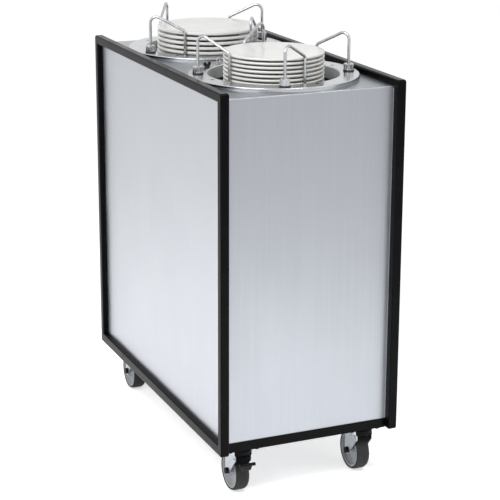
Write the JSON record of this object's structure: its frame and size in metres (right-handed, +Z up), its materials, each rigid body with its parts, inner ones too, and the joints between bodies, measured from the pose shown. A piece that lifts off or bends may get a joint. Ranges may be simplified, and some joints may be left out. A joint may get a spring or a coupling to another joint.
{
  "type": "plate dispenser cart",
  "caption": "Enclosed rolling cart whose deck holds spring-loaded plate tubes with swivelling wire guides.",
  "frame": {"origin": "on the floor under the middle of the cart", "axes": "+Z up, +Y along the cart from the front end to the rear end, +X to the right seen from the front end"},
  "size_m": [0.47, 0.9, 1.0893],
  "materials": {
    "black_frame": "satin black powder coat",
    "brushed_panel": "brushed stainless, grain along the sheet",
    "deck_steel": "brushed stainless",
    "ring_steel": "polished spun stainless",
    "inner_steel": "plain galvanised steel",
    "guide_wire": "polished stainless wire",
    "ferrule_steel": "turned and fluted, plated",
    "spring_steel": "oiled spring wire",
    "china": "off-white glaze",
    "caster_zinc": "bright zinc plate",
    "caster_black": "black",
    "hub_grey": "moulded light grey",
    "tyre_rubber": "dark rubber tread",
    "black_plastic": "moulded black"
  },
  "bodies": {
    "cabinet": {"base_end_rails": "black_frame", "base_pan": "inner_steel", "caster_bolts": "caster_black", "caster_channels": "inner_steel", "caster_plates": "caster_black", "deck": "deck_steel", "front_cage_floor": "inner_steel", "front_end_panel": "brushed_panel", "front_ring": "ring_steel", "front_springs": "spring_steel", "guide_ferrules": "ferrule_steel", "hanger_rods": "inner_steel", "hold_down_wing_screws": "black_plastic", "left_bottom_rail": "black_frame", "left_front_post": "black_frame", "left_rear_post": "black_frame", "left_side_panel": "brushed_panel", "left_top_rail": "black_frame", "lift_loops": "ferrule_steel", "rear_cage_floor": "inner_steel", "rear_end_panel": "brushed_panel", "rear_ring": "ring_steel", "rear_springs": "spring_steel", "right_bottom_rail": "black_frame", "right_front_post": "black_frame", "right_rear_post": "black_frame", "right_side_panel": "brushed_panel", "right_top_rail": "black_frame"},
    "front_lift": {"front_carrier": "inner_steel", "front_spider": "inner_steel", "front_plates": "china"},
    "front_guide_1": {"front_guide_1": "guide_wire"},
    "front_guide_2": {"front_guide_2": "guide_wire"},
    "front_guide_3": {"front_guide_3": "guide_wire"},
    "front_guide_4": {"front_guide_4": "guide_wire"},
    "rear_lift": {"rear_carrier": "inner_steel", "rear_spider": "inner_steel", "rear_plates": "china"},
    "rear_guide_1": {"rear_guide_1": "guide_wire"},
    "rear_guide_2": {"rear_guide_2": "guide_wire"},
    "rear_guide_3": {"rear_guide_3": "guide_wire"},
    "rear_guide_4": {"rear_guide_4": "guide_wire"},
    "front_left_swivel": {"front_left_fork": "caster_zinc", "front_left_axle": "caster_black"},
    "front_left_wheel": {"front_left_hub": "hub_grey", "front_left_tyre": "tyre_rubber"},
    "front_left_brake": {"front_left_brake_pedal": "caster_black"},
    "front_right_swivel": {"front_right_fork": "caster_zinc", "front_right_axle": "caster_black"},
    "front_right_wheel": {"front_right_hub": "hub_grey", "front_right_tyre": "tyre_rubber"},
    "rear_left_swivel": {"rear_left_fork": "caster_zinc", "rear_left_axle": "caster_black"},
    "rear_left_wheel": {"rear_left_hub": "hub_grey", "rear_left_tyre": "tyre_rubber"},
    "rear_right_swivel": {"rear_right_fork": "caster_zinc", "rear_right_axle": "caster_black"},
    "rear_right_wheel": {"rear_right_hub": "hub_grey", "rear_right_tyre": "tyre_rubber"},
    "rear_right_brake": {"rear_right_brake_pedal": "caster_black"}
  },
  "joints": [
    {"name": "front_carrier_slide", "type": "slide", "parent": "cabinet", "child": "front_lift", "axis": [0, 0, 1], "range_m": [-0.351, 0.063], "stiffness_N_per_m": 631, "springref_m": 0.1587, "deforming": ["front_springs"]},
    {"name": "front_guide_1_swivel", "type": "hinge", "parent": "cabinet", "child": "front_guide_1", "pos_m": [0.17591, -0.26344, 0.994], "axis": [0, 0, 1], "range_deg": [-17, 0]},
    {"name": "front_guide_2_swivel", "type": "hinge", "parent": "cabinet", "child": "front_guide_2", "pos_m": [0.05044, -0.03709, 0.994], "axis": [0, 0, 1], "range_deg": [-17, 0]},
    {"name": "front_guide_3_swivel", "type": "hinge", "parent": "cabinet", "child": "front_guide_3", "pos_m": [-0.17591, -0.16256, 0.994], "axis": [0, 0, 1], "range_deg": [-17, 0]},
    {"name": "front_guide_4_swivel", "type": "hinge", "parent": "cabinet", "child": "front_guide_4", "pos_m": [-0.05044, -0.38891, 0.994], "axis": [0, 0, 1], "range_deg": [-17, 0]},
    {"name": "rear_carrier_slide", "type": "slide", "parent": "cabinet", "child": "rear_lift", "axis": [0, 0, 1], "range_m": [-0.358, 0.056], "stiffness_N_per_m": 748, "springref_m": 0.1452, "deforming": ["rear_springs"]},
    {"name": "rear_guide_1_swivel", "type": "hinge", "parent": "cabinet", "child": "rear_guide_1", "pos_m": [0.17676, 0.26036, 0.994], "axis": [0, 0, 1], "range_deg": [-10, 0]},
    {"name": "rear_guide_2_swivel", "type": "hinge", "parent": "cabinet", "child": "rear_guide_2", "pos_m": [-0.04736, 0.38976, 0.994], "axis": [0, 0, 1], "range_deg": [-10, 0]},
    {"name": "rear_guide_3_swivel", "type": "hinge", "parent": "cabinet", "child": "rear_guide_3", "pos_m": [-0.17676, 0.16564, 0.994], "axis": [0, 0, 1], "range_deg": [-10, 0]},
    {"name": "rear_guide_4_swivel", "type": "hinge", "parent": "cabinet", "child": "rear_guide_4", "pos_m": [0.04736, 0.03624, 0.994], "axis": [0, 0, 1], "range_deg": [-10, 0]},
    {"name": "front_left_swivel", "type": "hinge", "parent": "cabinet", "child": "front_left_swivel", "pos_m": [-0.163, -0.39, 0.12], "axis": [0, 0, 1], "continuous": true},
    {"name": "front_left_wheel_spin", "type": "hinge", "parent": "front_left_swivel", "child": "front_left_wheel", "pos_m": [-0.163, -0.365, 0.05], "axis": [1, 0, 0], "continuous": true},
    {"name": "front_left_brake", "type": "hinge", "parent": "front_left_swivel", "child": "front_left_brake", "pos_m": [-0.163, -0.41, 0.098], "axis": [1, 0, 0], "range_deg": [0, 10]},
    {"name": "front_right_swivel", "type": "hinge", "parent": "cabinet", "child": "front_right_swivel", "pos_m": [0.163, -0.39, 0.12], "axis": [0, 0, 1], "continuous": true},
    {"name": "front_right_wheel_spin", "type": "hinge", "parent": "front_right_swivel", "child": "front_right_wheel", "pos_m": [0.163, -0.365, 0.05], "axis": [1, 0, 0], "continuous": true},
    {"name": "rear_left_swivel", "type": "hinge", "parent": "cabinet", "child": "rear_left_swivel", "pos_m": [-0.163, 0.349, 0.12], "axis": [0, 0, 1], "continuous": true},
    {"name": "rear_left_wheel_spin", "type": "hinge", "parent": "rear_left_swivel", "child": "rear_left_wheel", "pos_m": [-0.163, 0.374, 0.05], "axis": [1, 0, 0], "continuous": true},
    {"name": "rear_right_swivel", "type": "hinge", "parent": "cabinet", "child": "rear_right_swivel", "pos_m": [0.163, 0.349, 0.12], "axis": [0, 0, 1], "continuous": true},
    {"name": "rear_right_wheel_spin", "type": "hinge", "parent": "rear_right_swivel", "child": "rear_right_wheel", "pos_m": [0.163, 0.374, 0.05], "axis": [1, 0, 0], "continuous": true},
    {"name": "rear_right_brake", "type": "hinge", "parent": "rear_right_swivel", "child": "rear_right_brake", "pos_m": [0.163, 0.329, 0.098], "axis": [1, 0, 0], "range_deg": [0, 10]}
  ]
}
